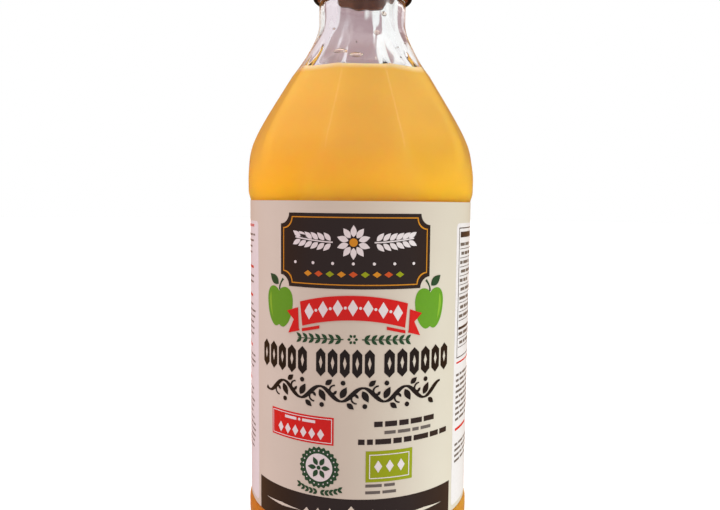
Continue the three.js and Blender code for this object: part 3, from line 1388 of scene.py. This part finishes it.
class BOTTLE_OT_red_box(bpy.types.Operator):
    """Prints the red box with its pale line, dashes and lozenges"""

    bl_idname = "bottle.red_box"
    bl_label = "Red box"

    def execute(self, context):
        x0, y0, x1, y1 = -26.7, -69.3, -5.2, -61.2
        middle = (x0 + x1) / 2
        line = [box(x0 + 0.5, y0 + 0.5, x1 - 0.5, y1 - 0.5), box(x0 + 0.7, y0 + 0.7, x1 - 0.7, y1 - 0.7)]
        marks = [lozenge(middle + 2.75 * (i - 2.5), -66.4, 2.1, 3.2) for i in range(6)]
        upper = [box(middle + x, -63.3, middle + x + 4.2, -62.5) for x in (-5.2, 1.0)]
        dot = disc(middle, -62.9, 0.4)
        print_piece(
            context,
            "print_red_box",
            [("red", 1, [box(x0, y0, x1, y1)]), ("white", 2, [*line, *marks, *upper, dot])],
        )
        return {"FINISHED"}


class BOTTLE_OT_small_print(bpy.types.Operator):
    """Prints the short rows of dashes beside the red box and under the lime box"""

    bl_idname = "bottle.small_print"
    bl_label = "Small print"

    def execute(self, context):
        chance = random.Random(3)
        print_piece(
            context,
            "print_rows",
            [
                (
                    "black",
                    1,
                    dashes(chance, 6.3, 27, -63.6, 1.55) + dashes(chance, 1.8, 31.4, -68.7, 1.55),
                ),
                (
                    "grey",
                    1,
                    dashes(chance, 9.3, 24.4, -65.8, 0.95)
                    + dashes(chance, 4, 12.6, -81.2, 0.85)
                    + dashes(chance, 4, 14.6, -83.2, 0.85),
                ),
            ],
        )
        return {"FINISHED"}


class BOTTLE_OT_seal(bpy.types.Operator):
    """Prints the dark-green scalloped seal with a flower and two laurel sprigs under it"""

    bl_idname = "bottle.seal"
    bl_label = "Seal"

    def execute(self, context):
        x, y = -9.6, -76.2
        rim = []
        for i in range(192):
            t = 2 * math.pi * i / 192
            radius = 5.9 + 0.25 * math.cos(24 * t)
            rim.append((x + radius * math.cos(t), y + radius * math.sin(t)))
        dots = []
        for i in range(22):
            t = 2 * math.pi * (i + 0.5) / 22
            dots.append(disc(x + 4.95 * math.cos(t), y + 4.95 * math.sin(t), 0.2, 12))
        sprigs = []
        for side in (-1, 1):
            for i in range(5):
                foot = x + side * (0.5 + 1.3 * i)
                lift = y - 7.3 + 0.08 * i * i
                sprigs.append(leaf(foot, lift + 0.05, 1.6, 0.75, 90 - side * 58))
                sprigs.append(leaf(foot, lift - 0.05, 1.5, 0.75, 90 - side * 118))
        print_piece(
            context,
            "print_seal",
            [
                ("dark_green", 1, [rim]),
                ("white", 2, [disc(x, y, 4.1, 48), *dots]),
                ("dark_green", 3, flower(x, y, 0.8, 2.6, 1.4) + [disc(x, y, 0.6, 16)]),
                ("dark_green", 1.5, sprigs),
            ],
        )
        return {"FINISHED"}


class BOTTLE_OT_lime_box(bpy.types.Operator):
    """Prints the lime box with its pale line and three small lozenges"""

    bl_idname = "bottle.lime_box"
    bl_label = "Lime box"

    def execute(self, context):
        x0, y0, x1, y1 = 4.0, -79.7, 18.0, -70.6
        line = [box(x0 + 1, y0 + 1, x1 - 1, y1 - 1), box(x0 + 1.25, y0 + 1.25, x1 - 1.25, y1 - 1.25)]
        marks = [lozenge((x0 + x1) / 2 + 3.4 * i, (y0 + y1) / 2, 2.3, 3.6) for i in (-1, 0, 1)]
        print_piece(
            context,
            "print_lime_box",
            [("lime", 1, [box(x0, y0, x1, y1)]), ("white", 2, line + marks)],
        )
        return {"FINISHED"}


class BOTTLE_OT_band(bpy.types.Operator):
    """Prints the black band along the label's foot, with a row of pale tapered marks"""

    bl_idname = "bottle.band"
    bl_label = "Foot band"

    def execute(self, context):
        s = context.scene.bottle_label
        foot = (LABEL_BOTTOM - LABEL_TOP) / MM
        half = s.field / 2 / MM - 1.6
        middle = (foot - 84.8) / 2
        marks = [lozenge(0, middle, 5.4, 6.6), lozenge(0, middle, 2.6, 3.2)]
        for side in (-1, 1):
            for i in range(3):
                marks.append(lozenge(side * (6.2 + 3.6 * i), middle, 2.4, 4.6 - 0.9 * i))
            marks.append(lozenge(side * 22.5, middle, 14, 0.9))
        print_piece(
            context,
            "print_band",
            [("black", 1, [box(-half, foot + 0.05, half, -84.8)]), ("cream", 2, marks)],
        )
        return {"FINISHED"}


class BOTTLE_OT_side_panels(bpy.types.Operator):
    """Prints the white panels round the sides and back: a table, paragraphs and a striped block"""

    bl_idname = "bottle.side_panels"
    bl_label = "Side panels"

    def execute(self, context):
        chance = random.Random(11)
        s = context.scene.bottle_label
        field = s.field / 2 / MM
        end = paper_width(s) / 2 - 3
        foot = (LABEL_BOTTOM - LABEL_TOP) / MM + 1.5
        turn = s.turn / MM
        right_panel = rounded(field, foot, end - turn, -6.3, 1.5)
        left_panel = rounded(-end - turn, foot, -field, -6.3, 1.5)
        print_piece(context, "print_white_panels", [("white", 0.5, [left_panel, right_panel])])

        # The table, and the rows of dashes under it
        x0, x1 = 36.9, 62.0
        top, foot = -7.6, -47.6
        rules = [box(x0, foot, x1, top), box(x0 + 0.3, foot + 0.3, x1 - 0.3, top - 0.3)]
        heads = [box(x0 + 1, -10.6, x0 + 13, -8.9)]
        lines = [box(x0 + 0.8, -38.9, x1 - 0.8, -38.1)]
        cells = []
        for i in range(12):
            y = -13.2 - 2.75 * i
            if -40 < y < -37.5:
                continue
            cells += dashes(chance, x0 + 1 + (i % 2) * 0.8, x0 + chance.uniform(9, 15), y, 0.95)
            cells += dashes(chance, x1 - 7.5, x1 - 1.2, y, 0.95)
            lines.append(box(x0 + 0.8, y - 0.95, x1 - 0.8, y - 0.8))
        print_piece(
            context,
            "print_table",
            [("black", 1, rules), ("black", 1.5, heads + lines), ("grey", 1.2, cells)],
        )
        grey, red = [], []
        grey += self.paragraph(chance, x0, x1, -51.5, -67.5, 1.75)
        grey += self.paragraph(chance, x0, x1, -73.5, -82, 1.75)
        red += [box(x0, -49.3, x1, -48.8), box(x0, -70.4, x0 + 10, -69.6)]
        print_piece(context, "print_right_rows", [("grey", 1, grey), ("red", 1, red)])

        # Blocks of dashes on the left, each with a red row over it, and plain ones at the back
        grey, red = [], []
        for block, (high, low) in enumerate(((-9, -20), (-22, -28), (-31, -44), (-47, -55), (-58, -82))):
            grey += self.paragraph(chance, -84, -38.2, high, low, 1.85, 0.55)
            red += dashes(chance, -56, -39.2 - block, high + 0.9, 0.8)
        print_piece(context, "print_left_rows", [("grey", 1, grey), ("red", 1, red)])
        grey = self.paragraph(chance, 67, 101, -9, -50, 1.85)
        grey += self.paragraph(chance, -108, -89, -9, -82, 1.85)
        print_piece(context, "print_back_rows", [("grey", 1, grey)])

        # The striped block
        stripes, x = [], 73.0
        while x < 97:
            wide = chance.choice((0.35, 0.35, 0.7, 1.05))
            stripes.append(box(x, -82, x + wide, -62))
            x += wide + chance.choice((0.35, 0.7, 0.7))
        print_piece(context, "print_stripes", [("black", 1, stripes)])
        return {"FINISHED"}

    def paragraph(self, chance, x0, x1, high, low, pitch, thick=0.75):
        """Rows of dashes, one under the other, all of uneven length and the last one short."""
        rows = []
        count = int((high - low) / pitch)
        for i in range(count):
            end = x0 + 0.45 * (x1 - x0) if i == count - 1 else x1 - chance.uniform(0, 2.5)
            rows += dashes(chance, x0, end, high - pitch * (i + 1), thick)
        return rows


# How far the lights hang from the bottle's axis, and the height on it that they are turned to
LIGHT_DISTANCE = 0.7
LIGHT_AIM = CONE_HEIGHT * 0.8


class BOTTLE_OT_stage(bpy.types.Operator):
    """Sets up the camera, the pale floor, the room and the soft lights"""

    bl_idname = "bottle.stage"
    bl_label = "Stage"

    def execute(self, context):
        s = context.scene.bottle_stage
        deselect()
        bpy.ops.object.camera_add()
        camera = bpy.context.object
        camera.name = "camera"
        camera.data.lens = s.lens
        camera.data.sensor_width = 36
        camera.data.sensor_fit = "HORIZONTAL"
        camera.data.clip_start = 0.01
        tilt = Matrix.Rotation(math.pi / 2 - s.pitch, 4, "X")
        camera.matrix_world = Matrix.Translation(s.camera) @ tilt @ Matrix.Rotation(s.roll, 4, "Z")
        context.scene.camera = camera
        context.scene.view_settings.view_transform = "Standard"

        deselect()
        bpy.ops.mesh.primitive_circle_add(vertices=96, radius=4, fill_type="NGON")
        floor = bpy.context.object
        floor.name = "floor"
        floor.data.materials.append(matte_floor(s))
        floor.visible_diffuse = False
        floor.visible_glossy = False
        floor.visible_shadow = False

        self.make_room(context, s)
        # The floor holds no light back, so the right softbox can hang lower than it and light the
        # vinegar from below
        self.hang_light("right_softbox", 80, -0.3, (0.5, 0.7), 6.6, (0.8, 1.0, 0.95))
        self.hang_light("left_softbox", -95, 0.1, (0.4, 0.7), 2.8, (0.94, 0.81, 0.94))
        for name, azimuth, power in (("right_strip", 40, 0.25), ("left_strip", -35, 0.2)):
            strip = self.hang_light(name, azimuth, 0.95, (0.1, 1.0), power, (1, 1, 1))
            strip.visible_diffuse = False
            strip.visible_glossy = True

        deselect()
        bpy.ops.object.light_add(type="SUN")
        sun = bpy.context.object
        sun.name = "ceiling"
        sun.data.energy = 3.2
        sun.data.angle = math.radians(50)
        sun.visible_glossy = False
        sun.visible_transmission = False
        return {"FINISHED"}

    def hang_light(self, name, azimuth, height, size, power, tone):
        """A softbox at this azimuth from the front, in degrees, turned to the bottle's shoulder."""
        turn = math.radians(azimuth)
        place = Vector((LIGHT_DISTANCE * math.sin(turn), -LIGHT_DISTANCE * math.cos(turn), height))
        deselect()
        bpy.ops.object.light_add(type="AREA")
        light = bpy.context.object
        light.name = name
        light.data.shape = "RECTANGLE"
        light.data.size, light.data.size_y = size
        light.data.energy = power
        light.data.color = tone
        light.visible_glossy = False
        light.visible_transmission = False
        towards = Vector((0, 0, LIGHT_AIM)) - place
        turned = towards.to_track_quat("-Z", "Y").to_matrix().to_4x4()
        light.matrix_world = Matrix.Translation(place) @ turned
        return light

    def make_room(self, context, s):
        """A white backdrop for the camera, and a room of mauve-grey and white walls for all else."""
        world = bpy.data.worlds.new("room")
        world.use_nodes = True
        context.scene.world = world
        tree = world.node_tree
        tree.nodes.clear()
        place = add_node(tree, "ShaderNodeTexCoord")
        direction = add_node(tree, "ShaderNodeSeparateXYZ", {"Vector": place.outputs["Generated"]})
        azimuth = add_node(
            tree,
            "ShaderNodeMath",
            {0: direction.outputs["X"], 1: direction.outputs["Y"]},
            operation="ARCTAN2",
        )
        share = add_node(
            tree,
            "ShaderNodeMapRange",
            {"Value": azimuth.outputs[0], "From Min": -math.pi, "From Max": math.pi},
        )
        front, back, rose, shade = (rgba(c) for c in (s.front, s.back, s.rose, s.shade))
        lit, dim = rgba(s.front, 1.5), rgba(s.dim, 1.35)
        white = (0.98, 1.0, 1.0, 1)
        # The room's tones by azimuth in degrees: 0 lies behind the bottle, and plus to the right
        sectors = {
            "lit": ((-180, lit), (-110, lit), (-80, dim), (80, dim), (110, lit), (180, lit)),
            "mirrored": (
                (-180, front),
                (-130, front),
                (-105, shade),
                (105, shade),
                (130, front),
                (180, front),
            ),
            "seen through": (
                (-180, dim),
                (-95, dim),
                (-75, rose),
                (-26, rose),
                (-15, back),
                (5, back),
                (10, white),
                (125, white),
                (150, dim),
                (180, dim),
            ),
        }
        walls = {}
        for name, stops in sectors.items():
            band = add_node(tree, "ShaderNodeValToRGB", {"Fac": share.outputs["Result"]})
            ramp = band.color_ramp
            ramp.interpolation = "EASE"
            while len(ramp.elements) < len(stops):
                ramp.elements.new(0.5)
            for element, (degrees, tone) in zip(ramp.elements, stops):
                element.position = (degrees + 180) / 360
                element.color = tone
            walls[name] = band.outputs["Color"]
        path = add_node(tree, "ShaderNodeLightPath")
        glossy = add_node(
            tree,
            "ShaderNodeMix",
            {0: path.outputs["Is Glossy Ray"], MIX_A: walls["lit"], MIX_B: walls["mirrored"]},
            data_type="RGBA",
        )
        above = add_node(
            tree,
            "ShaderNodeMapRange",
            {"Value": direction.outputs["Z"], "From Min": 0.3, "From Max": 1.0},
            interpolation_type="SMOOTHSTEP",
        )
        room = add_node(
            tree,
            "ShaderNodeMix",
            {0: above.outputs["Result"], MIX_A: glossy.outputs[MIXED], MIX_B: rgba(s.front, 1.6)},
            data_type="RGBA",
        )
        seen = add_node(
            tree,
            "ShaderNodeMix",
            {
                0: path.outputs["Is Transmission Ray"],
                MIX_A: room.outputs[MIXED],
                MIX_B: walls["seen through"],
            },
            data_type="RGBA",
        )
        around = add_node(tree, "ShaderNodeBackground", {"Color": seen.outputs[MIXED], "Strength": 1.0})
        backdrop = add_node(tree, "ShaderNodeBackground", {"Color": (1, 1, 1, 1), "Strength": 1.0})
        mix = add_node(
            tree,
            "ShaderNodeMixShader",
            {0: path.outputs["Is Camera Ray"], 1: around.outputs[0], 2: backdrop.outputs[0]},
        )
        add_node(tree, "ShaderNodeOutputWorld", {"Surface": mix.outputs[0]})


OPERATORS = (
    BOTTLE_OT_stage,
    BOTTLE_OT_glass,
    BOTTLE_OT_vinegar,
    BOTTLE_OT_drops,
    BOTTLE_OT_cap,
    BOTTLE_OT_paper,
    BOTTLE_OT_plate,
    BOTTLE_OT_ribbon,
    BOTTLE_OT_apples,
    BOTTLE_OT_garland,
    BOTTLE_OT_pickets,
    BOTTLE_OT_scroll,
    BOTTLE_OT_red_box,
    BOTTLE_OT_small_print,
    BOTTLE_OT_seal,
    BOTTLE_OT_lime_box,
    BOTTLE_OT_band,
    BOTTLE_OT_side_panels,
)
SETTINGS = {
    "bottle_glass": GlassSettings,
    "bottle_vinegar": VinegarSettings,
    "bottle_label": LabelSettings,
    "bottle_cap": CapSettings,
    "bottle_stage": StageSettings,
}


class BOTTLE_PT_pieces(bpy.types.Panel):
    """Lists the bottle's sizes and colours, and a button for each of its pieces"""

    bl_idname = "BOTTLE_PT_pieces"
    bl_label = "Vinegar Bottle"
    bl_space_type = "VIEW_3D"
    bl_region_type = "UI"
    bl_category = "Bottle"

    def draw(self, context):
        for key, group in SETTINGS.items():
            settings = getattr(context.scene, key)
            column = self.layout.column(align=True)
            column.label(text=group.__doc__)
            for name in group.__annotations__:
                column.prop(settings, name)
        for operator in OPERATORS:
            self.layout.operator(operator.bl_idname)


def register():
    """Makes the settings, the operators and the panel known to Blender."""
    for cls in (*SETTINGS.values(), *OPERATORS, BOTTLE_PT_pieces):
        bpy.utils.register_class(cls)
    for key, group in SETTINGS.items():
        setattr(bpy.types.Scene, key, bpy.props.PointerProperty(type=group))


def unregister():
    """Takes them out again."""
    for key in SETTINGS:
        delattr(bpy.types.Scene, key)
    for cls in reversed((*SETTINGS.values(), *OPERATORS, BOTTLE_PT_pieces)):
        bpy.utils.unregister_class(cls)


def main():
    """Makes the stage and every piece."""
    register()
    for operator in OPERATORS:
        getattr(bpy.ops.bottle, operator.bl_idname.split(".")[1])()


if __name__ == "__main__":
    main()
